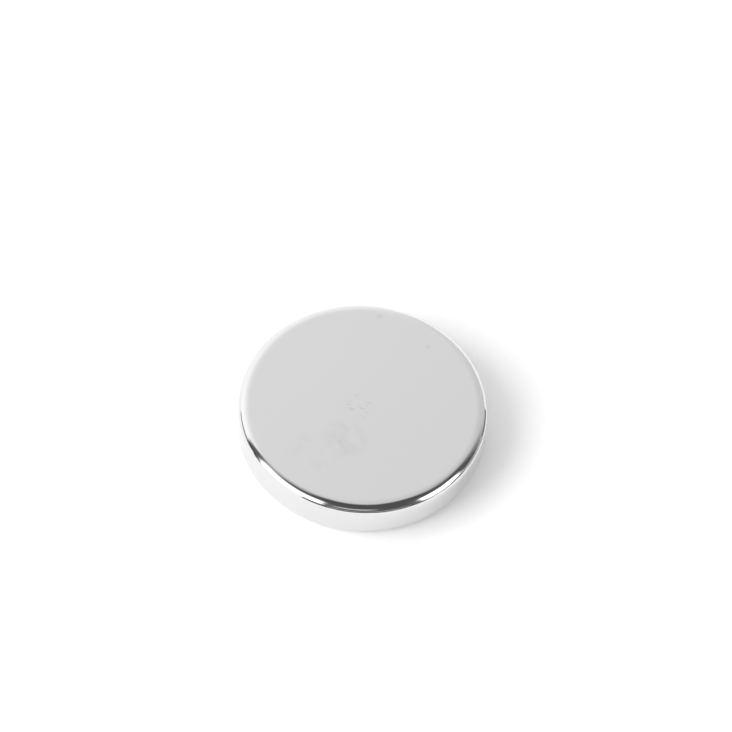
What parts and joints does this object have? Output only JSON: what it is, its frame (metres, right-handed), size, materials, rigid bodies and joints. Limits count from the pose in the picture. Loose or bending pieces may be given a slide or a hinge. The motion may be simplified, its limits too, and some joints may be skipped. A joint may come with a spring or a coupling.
{
  "type": "disc magnet",
  "caption": "Flat round disc magnet with a bright nickel finish, two flat pole faces and softly rounded edges.",
  "frame": {"origin": "centre of the lower pole face, on the disc's axis", "axes": "+Z along the disc's axis, from the lower pole face to the upper one; X and Y are any two directions across the disc"},
  "size_m": [0.016, 0.016, 0.003],
  "materials": {
    "bright_nickel": "bright nickel plate, mirror-like, with a faint orange-peel ripple from tumbling"
  },
  "bodies": {
    "root": {"magnet_disc": "bright_nickel"}
  },
  "joints": []
}
